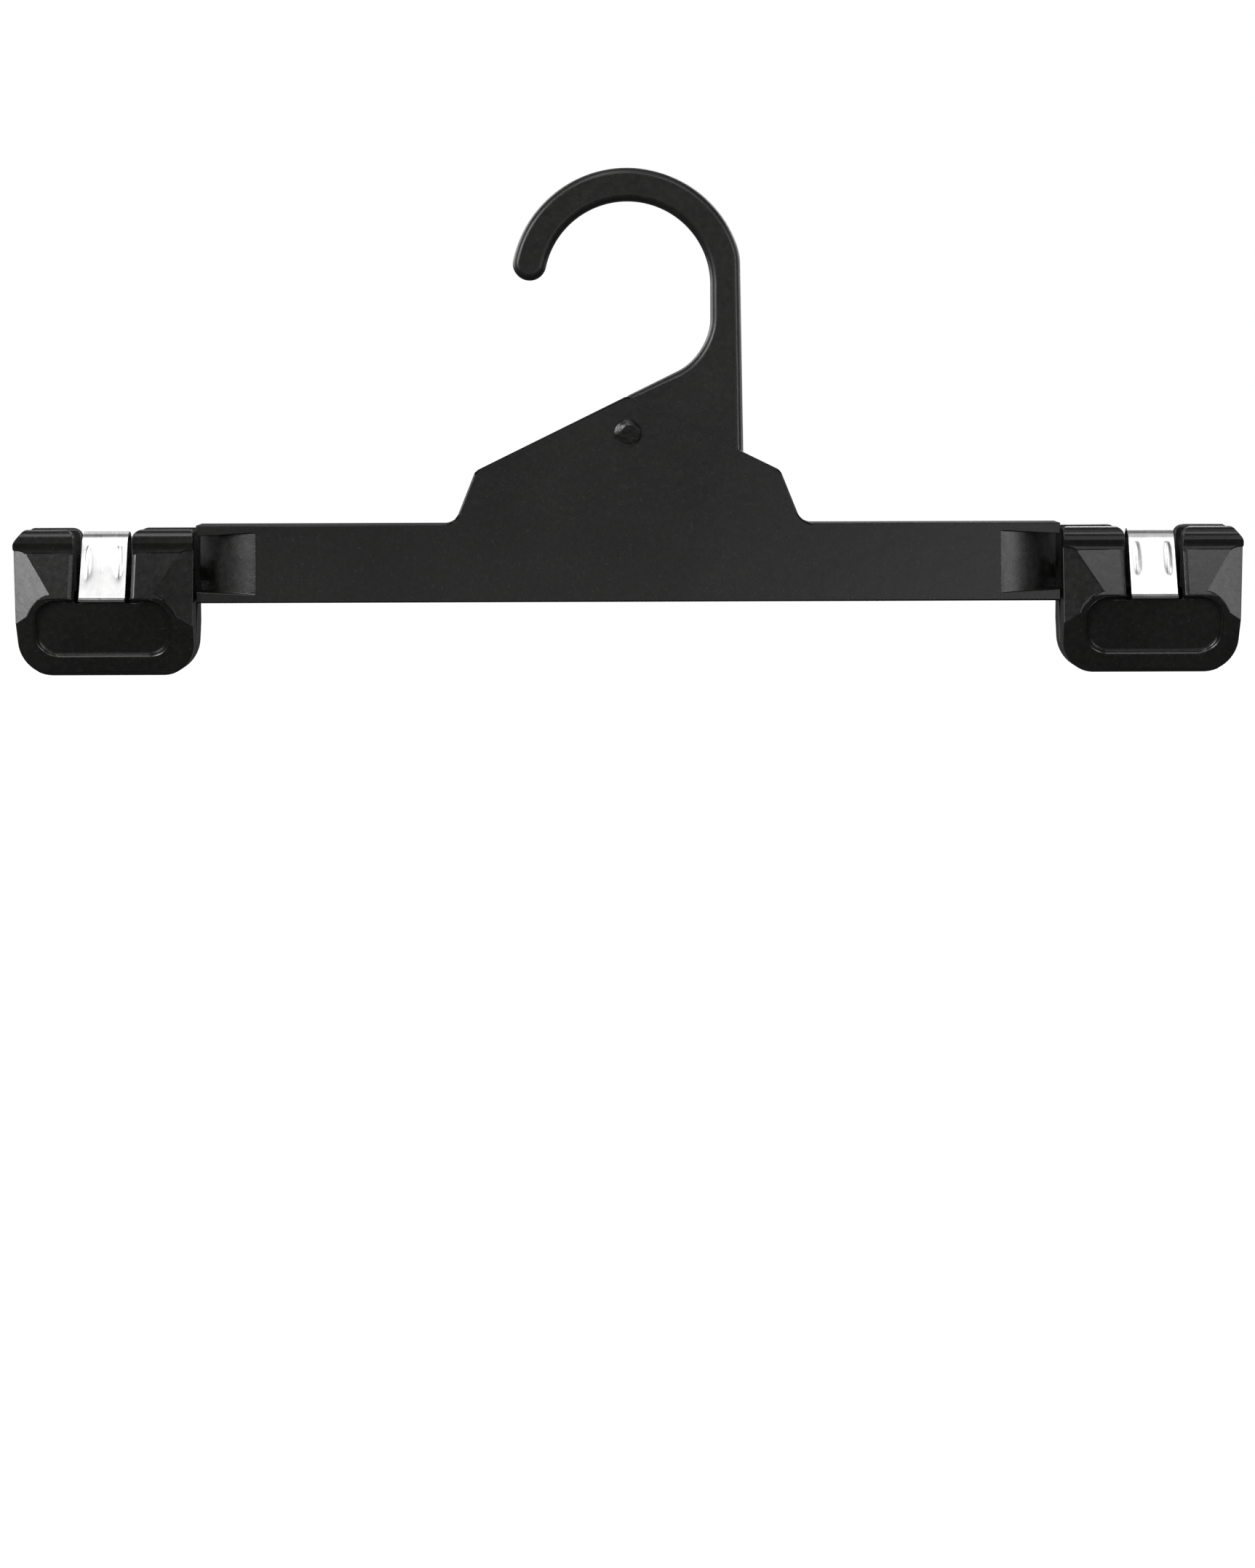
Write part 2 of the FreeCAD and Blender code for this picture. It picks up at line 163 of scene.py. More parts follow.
def combine(obj, tool, operation):
    addModifier(obj, "BOOLEAN", {"operation": operation, "solver": "EXACT", "object": tool})
    bpy.data.objects.remove(tool)


def attach(obj, part):                          # a softened part that is rooted in the other one
    makeActive(obj)
    part.select_set(True)
    bpy.ops.object.join()


# Small rounds along sharp edges: rims takes wider ones, and what leave names stays sharp
def soften(obj, width, segments, sharpest, rims=None, rimWidth=0, leave=None):
    widest = max(width, rimWidth)
    editAll(obj)
    bpy.ops.mesh.remove_doubles(threshold=weldGap)
    bpy.ops.mesh.dissolve_limited(angle_limit=math.radians(flatTurn))
    bpy.ops.mesh.delete_loose()
    limit = math.radians(sharpest)

    def onEdge(edge):
        return edge.calc_face_angle(0) > limit and not (leave and leave(edge))

    pick(obj, "EDGE", onEdge)
    bpy.ops.transform.edge_bevelweight(value=width / widest)
    if rims:
        pick(obj, "EDGE", lambda edge: onEdge(edge) and rims(edge))
        bpy.ops.transform.edge_bevelweight(value=1 - width / widest)
    addModifier(obj, "BEVEL", {"width": widest, "segments": segments, "limit_method": "WEIGHT",
                               "use_clamp_overlap": False, "miter_outer": "MITER_ARC"})


def evenNormals(obj):                           # flat faces stay flat beside their rounds
    makeActive(obj)
    bpy.ops.object.shade_smooth()
    addModifier(obj, "WEIGHTED_NORMAL", {"weight": flatWeight})


def copyOf(obj, name):
    twin = obj.copy()
    twin.data = obj.data.copy()
    twin.name = name
    bpy.context.scene.collection.objects.link(twin)
    return twin


def shift(obj, step):
    editAll(obj)
    bpy.ops.transform.translate(value=step)
    bpy.ops.object.mode_set(mode="OBJECT")


def mirror(obj, factors):                       # through a plane of the bench, faces still outwards
    editAll(obj)
    bpy.ops.transform.resize(value=factors, center_override=(0, 0, 0))
    bpy.ops.mesh.flip_normals()
    bpy.ops.object.mode_set(mode="OBJECT")


def settle(obj, place):                         # from the bench to its place in the frame, in metres
    shift(obj, place)
    editAll(obj)
    bpy.ops.transform.resize(value=(mm, mm, mm), center_override=(0, 0, 0))
    bpy.ops.object.mode_set(mode="OBJECT")


# Where the clips are, from the frame
clipLow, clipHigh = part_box("right_clip_jaw")
clipCentre = (clipLow.x + clipHigh.x) / 2 / mm
clipTop = clipHigh.z / mm
jawWidth = (clipHigh.x - clipLow.x) / mm
jawHeight = (clipHigh.z - clipLow.z) / mm
springLow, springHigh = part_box("right_clip_spring")

# Spring on the bench: X across, Y to the back, Z up, zero at the clip's middle and top

spring = {
    "width": (springHigh.x - springLow.x) / mm, "thickness": 0.5, "topDrop": 0.6, "bendRadius": 2.9,
    "kneeReach": 7.0, "kneeDrop": 14.1, "toeLength": 1.0, "toeFlare": 47.0, "clearance": 0.15,
    "beadAcross": 3.2, "beadWidth": 1.5, "beadStart": 0.5, "beadLength": 7.5, "beadHeight": 0.26,
    "beadInset": 0.38, "headShare": 0.985, "toeCorner": 0.45, "toeCornerSteps": 2,
    "holdLoop": 0.35, "kneeLoop": 1.2, "toeLoop": 0.25, "tipLoop": 0.1, "bendSteps": 7, "weld": 0.01,
    "smoothing": 3, "edgeRound": 0.07, "edgeSteps": 3, "sharpest": 60.0,
}
bendDrop = spring["topDrop"] + spring["thickness"] / 2 + spring["bendRadius"]
kneeBelow = spring["kneeDrop"] - bendDrop
legLean = math.atan2(spring["kneeReach"], kneeBelow) - math.asin(
    spring["bendRadius"] / math.hypot(spring["kneeReach"], kneeBelow))
legLength = math.sqrt(spring["kneeReach"] ** 2 + kneeBelow ** 2 - spring["bendRadius"] ** 2)


def crossCut(point, normal):
    bpy.ops.mesh.select_all(action="SELECT")
    bpy.ops.mesh.bisect(plane_co=point, plane_no=normal, threshold=hair / 10)


def acrossAt(point, normal):                    # a test for edges that lie in one cross plane
    return lambda edge: all(abs((vert.co - point).dot(normal)) < hair for vert in edge.verts)


def buildSpring():
    half = spring["width"] / 2
    down = Vector((0, -math.sin(legLean), -math.cos(legLean)))  # along the front leg, towards its toe
    out = Vector((0, -math.cos(legLean), math.sin(legLean)))    # away from the jaw
    head = Vector((0, 0, -bendDrop)) + out * spring["bendRadius"]
    narrow = half * spring["headShare"]
    corners = [(-narrow, 0, 0), (narrow, 0, 0), (half, legLength, 0), (-half, legLength, 0)]
    obj = drawSheet("spring", corners,
                    lambda across, along: Vector((across, 0, 0)) + head + down * along)
    bpy.ops.mesh.select_all(action="SELECT")
    bpy.ops.mesh.normals_make_consistent(inside=False)

    # Cuts that frame the two pressed beads, and loops that hold the bends
    beadHalf = spring["beadWidth"] / 2
    for across in (-1, 1):
        for edge in (-beadHalf, beadHalf):
            crossCut((across * spring["beadAcross"] + edge, 0, 0), (1, 0, 0))
    beadEnd = spring["beadStart"] + spring["beadLength"]
    for along in (spring["holdLoop"], spring["beadStart"], beadEnd, legLength - spring["kneeLoop"],
                  legLength - spring["holdLoop"]):
        crossCut(head + down * along, down)

    def onBead(face):
        centre = face.calc_center_median()
        along = (centre - head).dot(down)
        inRow = spring["beadStart"] < along < beadEnd
        return inRow and abs(abs(centre.x) - spring["beadAcross"]) < beadHalf

    pick(obj, "FACE", onBead)
    bpy.ops.mesh.inset(thickness=spring["beadInset"], use_individual=False)
    bpy.ops.transform.translate(value=out * spring["beadHeight"])

    # Toe below the knee
    toeLean = legLean + math.radians(spring["toeFlare"])
    toe = Vector((0, -math.sin(toeLean), -math.cos(toeLean)))
    foot = head + down * legLength
    pick(obj, "EDGE", acrossAt(foot, down))
    rest = spring["toeLength"] - spring["toeLoop"] - spring["tipLoop"]
    for step in (spring["toeLoop"], rest, spring["tipLoop"]):
        bpy.ops.mesh.extrude_region_move(TRANSFORM_OT_translate={"value": toe * step})

    # Bend above, spun to the middle plane, then mirrored to the rear leg
    pick(obj, "EDGE", acrossAt(head, down))
    quarter = math.pi / 2 - legLean
    bpy.ops.mesh.spin(steps=spring["bendSteps"], angle=quarter, center=(0, 0, -bendDrop), axis=(1, 0, 0))
    tip = foot + toe * spring["toeLength"]

    def onToeCorner(vert):
        return abs((vert.co - tip).dot(toe)) < hair and abs(abs(vert.co.x) - half) < hair

    pick(obj, "VERT", onToeCorner)
    bpy.ops.mesh.bevel(affect="VERTICES", offset=spring["toeCorner"], segments=spring["toeCornerSteps"])
    addModifier(obj, "MIRROR", {"use_axis": (False, True, False), "use_clip": True,
                                "merge_threshold": spring["weld"]})
    addModifier(obj, "SUBSURF", {"levels": spring["smoothing"], "render_levels": spring["smoothing"],
                                 "boundary_smooth": "PRESERVE_CORNERS"})
    addModifier(obj, "SOLIDIFY", {"thickness": spring["thickness"], "offset": 0})
    bpy.ops.object.shade_smooth()
    addModifier(obj, "BEVEL", {"width": spring["edgeRound"], "segments": spring["edgeSteps"],
                               "limit_method": "ANGLE", "angle_limit": math.radians(spring["sharpest"]),
                               "harden_normals": True})
    return obj


# Front jaw of a clip on the bench: X away from the bar, Y to the back, Z up, its top edge at zero

jaw = {
    # Outline from the front, and the slot for the spring
    "outerLean": 1.4, "earCutAcross": 2.3, "earCutDrop": 2.8, "earCutRound": 1.1, "earFootRound": 2.2,
    "barEarRound": 0.9, "innerEarRound": 2.0, "outerFootRound": 7.2, "barFootRound": 6.8,
    "notch": 12.1, "notchDrop": 15.15, "notchFootRound": 0.6,
    "tongue": 8.6, "tongueDrop": 13.2, "tongueRound": 0.3,
    "chamferWide": 0.75, "chamferDeep": 0.29, "chamferHigh": 1.0,
    # Section: reach from the middle plane, drop from the top
    "earGap": 3.5, "earBackRound": 0.9, "rollReach": 6.5, "rollRound": 2.0, "rollDrop": 2.8,
    "rollFootRound": 0.9, "valleyReach": 5.75, "valleyDrop": 4.2, "valleyRound": 2.0,
    "ridgeReach": 8.76, "ridgeDrop": 14.0, "ridgeRound": 0.8, "toeReach": 3.3, "toeRound": 1.3,
    "lipGap": 0.1, "lipHeight": 4.8, "lipRound": 0.6, "waistGap": 2.0, "waistDrop": 11.0,
    # Facets and thumb dish
    "headInset": 3.0, "headDrop": 5.0, "footInset": 8.8, "creaseDrop": 20.0,
    "facetRound": 3.5, "facetOverlap": 0.15,
    "dishWidth": 27.8, "dishHeight": 11.7, "dishDrop": 14.6, "dishDepth": 1.5, "dishRound": 4.8,
    "dishRim": 1.6, "dishDraft": 0.35, "dishTilt": 3.4, "dishShift": 0.15,
    "dishFillet": 0.4, "dishFilletSteps": 3,
    "brimFirst": 20.0, "brimLast": 75.0, "brimSteps": 8, "brimRound": 1.0, "brimAhead": 0.2,
    # Hollow back, serrated lip and rocking seat
    "wall": 1.6, "sideWall": 1.9, "hollowDrop": 12.8, "hollowRound": 0.5,
    "grooves": 3, "groovePitch": 1.2, "grooveDepth": 0.45,
    "pivotDrop": 9.5, "cradleRadius": 1.65, "cradleInset": 1.2, "cradleHalf": 2.9, "cradleRoot": 4.2,
    "beadRadius": 1.6, "rodSides": 72,
    # Small rounds, and the margins and normals that tell where they go
    "rimRound": 0.35, "edgeRound": 0.16, "edgeSteps": 4, "sharpest": 9.0,
    "rimMargin": 1.0, "rimWall": 0.05, "rimFront": 0.8,
    "sharpMargin": 0.2, "sharpFoot": 1.6, "sharpLevel": 0.01, "sharpUnder": 0.36,
}


def faceReach(drop):                            # lower face, which tapers towards the lip
    taper = (jaw["ridgeReach"] - jaw["toeReach"]) / (jawHeight - jaw["ridgeDrop"])
    return jaw["ridgeReach"] - (drop - jaw["ridgeDrop"]) * taper


def slopeReach(drop):                           # upper slope, from the valley out to the ridge
    rise = (jaw["ridgeReach"] - jaw["valleyReach"]) / (jaw["ridgeDrop"] - jaw["valleyDrop"])
    return jaw["valleyReach"] + (drop - jaw["valleyDrop"]) * rise


def slotReach(drop):                            # floor under the spring's leg
    legReach = spring["kneeReach"] - (spring["kneeDrop"] - drop) * math.tan(legLean)
    return legReach - (spring["thickness"] / 2 + spring["clearance"]) / math.cos(legLean)


def dishCorners(margin):
    half = jaw["dishWidth"] / 2 + margin
    head = jaw["dishDrop"] - margin
    foot = jaw["dishDrop"] + jaw["dishHeight"] + margin
    corner = jaw["dishRound"] + margin
    return [(half, head, corner), (half, foot, corner), (-half, foot, corner), (-half, head, corner)]


def jawSection():                               # reach, drop and round of each corner of a jaw's section
    return [
        (jaw["earGap"], 0, jaw["earBackRound"]), (jaw["rollReach"], 0, jaw["rollRound"]),
        (jaw["rollReach"], jaw["rollDrop"], jaw["rollFootRound"]),
        (jaw["valleyReach"], jaw["valleyDrop"], jaw["valleyRound"]),
        (jaw["ridgeReach"], jaw["ridgeDrop"], jaw["ridgeRound"]),
        (jaw["toeReach"], jawHeight, jaw["toeRound"]), (jaw["lipGap"], jawHeight, jaw["lipRound"]),
        (jaw["lipGap"], jawHeight - jaw["lipHeight"], 0), (jaw["waistGap"], jaw["waistDrop"], 0),
    ]


def jawBlank():                                 # the section along the clip, cut to its front outline
    half = jawWidth / 2
    notch = jaw["notch"] / 2
    tongue = jaw["tongue"] / 2
    front = jaw["ridgeReach"] + spare
    obj = drawSheet("jawBlank", jawSection(), lambda reach, drop: (-half, -reach, -drop))
    thicken(obj, (jawWidth, 0, 0))
    outline = [
        (half - jaw["earCutAcross"], 0, jaw["earCutRound"]),
        (half, jaw["earCutDrop"], jaw["earFootRound"]),
        (half - jaw["outerLean"], jawHeight, jaw["outerFootRound"]),
        (-half, jawHeight, jaw["barFootRound"]), (-half, 0, jaw["barEarRound"]),
    ]
    fork = [
        (tongue, jaw["tongueDrop"], jaw["tongueRound"]),
        (tongue, jaw["notchDrop"], jaw["notchFootRound"]),
        (notch, jaw["notchDrop"], jaw["notchFootRound"]), (notch, 0, jaw["innerEarRound"]),
    ]
    outline += [(-across, drop, radius) for across, drop, radius in reversed(fork)] + fork
    plate = drawSheet("outline", outline, lambda across, drop: (across, -front, -drop))
    combine(obj, thicken(plate, (0, front + spare, 0)), "INTERSECT")
    return obj


def cutFacet(obj, side):                        # facet that falls away to one side, up to the dish's rim
    half = jawWidth / 2
    foot = Vector((side * (half - jaw["footInset"]), -jaw["ridgeReach"], -jaw["ridgeDrop"]))
    head = Vector((side * (half - jaw["headInset"]), -slopeReach(jaw["headDrop"]), -jaw["headDrop"]))
    crease = Vector((side * half, -faceReach(jaw["creaseDrop"]), -jaw["creaseDrop"]))
    normal = (head - foot).cross(crease - foot)

    def onFacet(across, drop):
        x, z = side * across, -drop
        return (x, foot.y - ((x - foot.x) * normal.x + (z - foot.z) * normal.z) / normal.y, z)

    far = half + spare
    front = jaw["ridgeReach"] + spare
    lean = (jaw["footInset"] - jaw["headInset"]) / (jaw["ridgeDrop"] - jaw["headDrop"])
    near = half - jaw["headInset"] - jaw["facetOverlap"] + (jaw["headDrop"] - jaw["valleyDrop"]) * lean
    corners = [
        (near, jaw["valleyDrop"], jaw["facetRound"]), (far, jaw["valleyDrop"], 0), (far, jawHeight, 0),
        (0, jawHeight, 0), (0, jaw["valleyDrop"] + near / lean, 0),
    ]
    facet = thicken(drawSheet("facet", corners, onFacet), (0, -front, 0))
    rim = drawSheet("rim", dishCorners(jaw["dishRim"]),
                    lambda across, drop: (across, -front - spare, -drop))
    combine(facet, thicken(rim, (0, front + spare, 0)), "DIFFERENCE")
    combine(obj, facet, "DIFFERENCE")


def cutSlot(obj):                               # slot for the spring's leg, with chamfered sides
    notch = jaw["notch"] / 2
    front = jaw["ridgeReach"] + spare
    foot = jaw["dishDrop"] + spare
    sides = [(slotReach(0), 0, 0), (slotReach(foot), foot, 0), (front, foot, 0), (front, 0, 0)]
    slot = drawSheet("slot", sides, lambda reach, drop: (-notch, -reach, -drop))
    combine(obj, thicken(slot, (jaw["notch"], 0, 0)), "DIFFERENCE")
    start, end = jaw["headDrop"], jaw["ridgeDrop"]
    wide, deep, high = jaw["chamferWide"], jaw["chamferDeep"], jaw["chamferHigh"]
    corners = [(notch - wide, -2 * deep, 0), (notch + 2 * wide, deep, 0), (notch + 2 * wide, high, 0),
               (notch - wide, high, 0)]
    for side in (1, -1):
        wedge = drawSheet("wedge", corners,
                          lambda across, out: (side * across, -slopeReach(start) - out, -start))
        combine(obj, thicken(wedge, (0, slopeReach(start) - slopeReach(end), start - end)), "DIFFERENCE")


def cutDish(obj):                               # thumb dish: rounded brim, drafted walls, rounded foot
    first, last, steps = math.radians(jaw["brimFirst"]), math.radians(jaw["brimLast"]), jaw["brimSteps"]
    turns = [first + (last - first) * step / steps for step in range(steps + 1)]
    ahead = jaw["brimAhead"]
    margin = jaw["dishDraft"] + ahead / math.tan(first)
    dish = drawSheet("dish", dishCorners(margin),
                     lambda across, drop: (across, -faceReach(drop) - spare, -drop))
    thicken(dish, (0, spare - ahead, 0))
    edit(dish)
    pick(dish, "FACE", lambda face: face.normal.y > facing)
    bpy.ops.mesh.inset(thickness=ahead / math.tan(first), depth=ahead)
    sunk = 0
    for before, after in zip(turns, turns[1:]):
        inwards = jaw["brimRound"] * (math.sin(after) - math.sin(before))
        deeper = jaw["brimRound"] * (math.cos(before) - math.cos(after))
        bpy.ops.mesh.inset(thickness=inwards, depth=deeper)
        sunk += deeper
    rest = jaw["dishDepth"] - sunk
    bpy.ops.mesh.inset(thickness=rest / math.tan(last), depth=rest)
    bpy.ops.transform.rotate(value=math.radians(jaw["dishTilt"]), orient_axis="X",
                             center_override=(0, -faceReach(jaw["dishDrop"]), -jaw["dishDrop"]))
    bpy.ops.transform.translate(value=(0, 0, -jaw["dishShift"]))
    bpy.ops.mesh.region_to_loop()
    bpy.ops.mesh.bevel(offset=jaw["dishFillet"], segments=jaw["dishFilletSteps"], affect="EDGES")
    combine(obj, dish, "DIFFERENCE")


def cutBack(obj):                               # hollow behind the dish, and the serrated lip below it
    half = jawWidth / 2
    inner = half - jaw["sideWall"]
    lip = jawHeight - jaw["lipHeight"]
    behind = jaw["dishDepth"] + jaw["wall"]
    corners = [
        (-spare, jaw["hollowDrop"], 0),
        (slotReach(jaw["hollowDrop"]) - jaw["wall"], jaw["hollowDrop"], jaw["hollowRound"]),
        (faceReach(jaw["dishDrop"]) - behind, jaw["dishDrop"], 0),
        (faceReach(lip) - behind, lip, jaw["hollowRound"]), (-spare, lip, 0),
    ]
    pocket = drawSheet("pocket", corners, lambda reach, drop: (-inner, -reach, -drop))
    combine(obj, thicken(pocket, (2 * inner, 0, 0)), "DIFFERENCE")
    tooth = jaw["groovePitch"] / 2
    deepest = jaw["lipGap"] + jaw["grooveDepth"]
    for index in range(jaw["grooves"]):
        drop = jawHeight - jaw["lipHeight"] / 2 + (index - (jaw["grooves"] - 1) / 2) * jaw["groovePitch"]
        corners = [(0, drop - tooth, 0), (deepest, drop, 0), (0, drop + tooth, 0)]
        groove = drawSheet("groove", corners, lambda reach, drop: (-half - spare, -reach, -drop))
        combine(obj, thicken(groove, (jawWidth + 2 * spare, 0, 0)), "DIFFERENCE")


def seatSpans():                                # stretches of the rocking seat, one through each ear
    near = jaw["notch"] / 2 + jaw["cradleInset"]
    far = jawWidth / 2 - jaw["cradleInset"]
    return ((near, far), (-far, -near))


def seatRod(radius, low, high):
    deselectAll()
    bpy.ops.mesh.primitive_cylinder_add(vertices=jaw["rodSides"], radius=radius, depth=high - low,
                                        location=((low + high) / 2, 0, -jaw["pivotDrop"]),
                                        rotation=(0, math.pi / 2, 0))
    return placed("rod")


def addCradles(obj):                            # hollow seats of the front jaw
    for low, high in seatSpans():
        seat = block("seat", (low, -jaw["cradleRoot"], -jaw["pivotDrop"] - jaw["cradleHalf"]),
                     (high, -jaw["cradleRadius"] / 2, -jaw["pivotDrop"] + jaw["cradleHalf"]))
        combine(obj, seat, "UNION")
        combine(obj, seatRod(jaw["cradleRadius"], low, high), "DIFFERENCE")


def addBeads(obj):                              # round beads of the rear jaw, where the front one rocks
    for low, high in seatSpans():
        stem = block("stem", (low, 0, -jaw["pivotDrop"] - jaw["beadRadius"]),
                     (high, jaw["cradleRoot"], -jaw["pivotDrop"] + jaw["beadRadius"]))
        combine(stem, seatRod(jaw["beadRadius"], low, high), "UNION")
        combine(obj, stem, "UNION")


def onRim(edge):                                # where the front below the ears meets sides and lip
    if max(vert.co.z for vert in edge.verts) > -jaw["headDrop"] - jaw["rimMargin"]:
        return False
    walls = [face for face in edge.link_faces if abs(face.normal.y) < jaw["rimWall"]]
    reachBack = any(vert.co.y > -jaw["toeReach"] for wall in walls for vert in wall.verts)
    outside = min(abs(vert.co.x) for vert in edge.verts) > jaw["notch"] / 2 + jaw["rimMargin"]
    return reachBack and outside and any(face.normal.y < -jaw["rimFront"] for face in edge.link_faces)


def leftSharp(edge):                            # behind the spring's toe, and at the foot's rounds
    places = [vert.co for vert in edge.verts]
    inNotch = max(abs(place.x) for place in places) < jaw["notch"] / 2 + jaw["sharpMargin"]
    inPocket = all(-jaw["dishDrop"] - spare < place.z < -jaw["tongueDrop"] for place in places)
    atFoot = max(place.z for place in places) < -jawHeight + jaw["sharpFoot"]
    normals = [face.normal for face in edge.link_faces]
    onToe = any(abs(way.x) < jaw["sharpLevel"] and way.z < -jaw["sharpUnder"] for way in normals)
    return inNotch and inPocket or atFoot and onToe


def jawShell():                                 # what the front and the rear jaw have in common
    obj = jawBlank()
    for side in (1, -1):
        cutFacet(obj, side)
    cutSlot(obj)
    cutDish(obj)
    cutBack(obj)
    soften(obj, jaw["edgeRound"], jaw["edgeSteps"], jaw["sharpest"], onRim, jaw["rimRound"], leftSharp)
    return obj


# Moulded body, in millimetres about the hook's centre: hook, neck, peak, bar and rear jaws

body = {
    # Hook and neck
    "railRadius": 17.3, "hookWidth": 6.9, "hookDepth": 5.6, "hookEdge": 1.6, "tipAngle": 168.0,
    "hookStep": 3.0, "bendAngle": 20.0, "bendRadius": 12.0, "neckFoot": 24.0, "throatRadius": 12.0,
    "roofBite": 1.2,
    # Peak and bar, with the open back and its ribs
    "peakDrop": 23.2, "peakRound": 1.6, "shoulder": 31.5, "shoulderDrop": 38.65, "shoulderRound": 2.0,
    "flankFoot": 35.9, "flankRound": 3.5, "barDrop": 49.65, "barHeight": 16.1, "depth": 9.0, "wall": 2.1,
    "frontEdge": 0.22, "ribThickness": 1.4, "ribSetback": 1.5, "ribsPerSide": 5, "ribBite": 1.0,
    # Ends of the bar, up to the rear jaws
    "rampStart": 76.9, "rampStartLean": 15.0, "rampEndLean": 40.0, "rampSteps": 10, "flangeRoot": 1.6,
    "flangeTip": 2.3, "endWall": 2.0, "sideClearance": 0.4, "seam": 0.03, "rootStep": 0.4,
    # Rounds
    "rimSteps": 12, "edgeRound": 0.16, "edgeSteps": 3, "sharpest": 9.0,
}
barTop = -body["barDrop"]
barBottom = barTop - body["barHeight"]
barFront = -body["depth"] / 2
flangeEnd = clipCentre - jawWidth / 2 - body["sideClearance"]
roofSlope = (body["shoulderDrop"] - body["peakDrop"]) / body["shoulder"]


def outlineHeight(across):                      # top of the body above a place along the bar
    across = abs(across)
    if across < body["shoulder"]:
        return -body["peakDrop"] - across * roofSlope
    flank = (across - body["shoulder"]) / (body["flankFoot"] - body["shoulder"])
    return max(barTop, -body["shoulderDrop"] + flank * (barTop + body["shoulderDrop"]))


def arc(centre, radius, first, last, step):     # points of an arc, without its last one
    count = max(1, round(abs(last - first) / step))
    turns = [math.radians(first + (last - first) * index / count) for index in range(count)]
    x, y = centre
    return [(x + radius * math.cos(turn), y + radius * math.sin(turn), 0) for turn in turns]


def roundRim(obj, test, width):                 # a fine round along the edges that pass a test
    edit(obj)
    pick(obj, "EDGE", test)
    bpy.ops.mesh.bevel(offset=width, segments=body["rimSteps"], affect="EDGES", clamp_overlap=False)
    bpy.ops.object.mode_set(mode="OBJECT")
    return obj


def hookPlate():
    inner, outer = body["railRadius"], body["railRadius"] + body["hookWidth"]
    tip, step = body["tipAngle"], body["hookStep"]
    tipTurn, bendTurn = math.radians(tip), math.radians(body["bendAngle"])
    tipRadius = body["hookWidth"] / 2
    tipCentre = ((inner + tipRadius) * math.cos(tipTurn), (inner + tipRadius) * math.sin(tipTurn))
    pull = outer - body["bendRadius"]
    bend = (pull * math.cos(bendTurn), pull * math.sin(bendTurn))
    foot = (body["neckFoot"], outlineHeight(body["neckFoot"]) - body["roofBite"])
    bearing = math.atan2(foot[1] - bend[1], foot[0] - bend[0])
    away = math.hypot(foot[0] - bend[0], foot[1] - bend[1])
    bendEnd = math.degrees(bearing + math.acos(body["bendRadius"] / away))
    outline = arc((0, 0), inner, tip, 0, step) + [
        (inner, 0, 0), (inner, -body["peakDrop"] + inner * roofSlope, body["throatRadius"]),
        (0, -body["peakDrop"], 0), (0, -body["peakDrop"] - body["roofBite"], 0), (foot[0], foot[1], 0),
    ]
    outline += arc(bend, body["bendRadius"], bendEnd, body["bendAngle"], step)
    outline += arc((0, 0), outer, body["bendAngle"], tip, step)
    outline += arc(tipCentre, tipRadius, tip, tip + 180, arcStep)
    back = body["hookDepth"] / 2
    obj = thicken(drawSheet("hook", outline, lambda across, up: (across, -back, up)), (0, 2 * back, 0))

    def onFace(edge):
        first, second = (vert.co for vert in edge.verts)
        middle = (first + second) / 2
        level = abs(first.y - second.y) < hair and abs(abs(first.y) - back) < hair
        buried = middle.z < outlineHeight(middle.x) - body["roofBite"] / 4
        return level and not (buried and abs(middle.x) < body["neckFoot"])

    return roundRim(obj, onFace, body["hookEdge"])


def bodyCorners(halfLength, rounded):           # the peak and the bar, to a half length of the bar
    right = [
        (body["shoulder"], -body["shoulderDrop"], body["shoulderRound"] * rounded),
        (body["flankFoot"], barTop, body["flankRound"] * rounded),
        (halfLength, barTop, 0), (halfLength, barBottom, 0),
    ]
    left = [(-across, up, radius) for across, up, radius in reversed(right)]
    return [(0, -body["peakDrop"], body["peakRound"] * rounded)] + right + left


def bodyBlock():
    obj = drawSheet("body", bodyCorners(flangeEnd, 1), lambda across, up: (across, barFront, up))
    thicken(obj, (0, body["depth"], 0))

    def onFrontRim(edge):
        first, second = (vert.co for vert in edge.verts)
        middle = abs(first.x + second.x) / 2
        return max(first.y, second.y) < barFront + hair and middle < flangeEnd - 10 * hair

    return roundRim(obj, onFrontRim, body["frontEdge"])


def hollowBack(obj):                            # open channel at the back, inside an even wall
    corners = bodyCorners(body["rampStart"] + body["wall"], 0)
    hollow = drawSheet("hollow", corners, lambda across, up: (across, barFront + body["wall"], up))
    bpy.ops.mesh.select_mode(type="FACE")
    bpy.ops.mesh.select_all(action="SELECT")
    bpy.ops.mesh.inset(thickness=body["wall"])
    bpy.ops.mesh.select_all(action="INVERT")
    bpy.ops.mesh.delete(type="FACE")
    combine(obj, thicken(hollow, (0, body["depth"], 0)), "DIFFERENCE")


def openEnd(obj, side):                         # window between the flanges, for the curved web
    start = body["rampStart"]
    long = flangeEnd + spare - start
    tip = body["flangeRoot"] + (body["flangeTip"] - body["flangeRoot"]) * long / (flangeEnd - start)
    corners = [(start, barBottom + body["flangeRoot"], 0), (start + long, barBottom + tip, 0),
               (start + long, barTop - tip, 0), (start, barTop - body["flangeRoot"], 0)]
    window = drawSheet("window", corners, lambda across, up: (side * across, barFront - spare, up))
    combine(obj, thicken(window, (0, body["depth"] + 2 * spare, 0)), "DIFFERENCE")


def rampTurns():
    first, last, steps = body["rampStartLean"], body["rampEndLean"], body["rampSteps"]
    return [math.radians(first + (last - first) * index / steps) for index in range(steps + 1)]


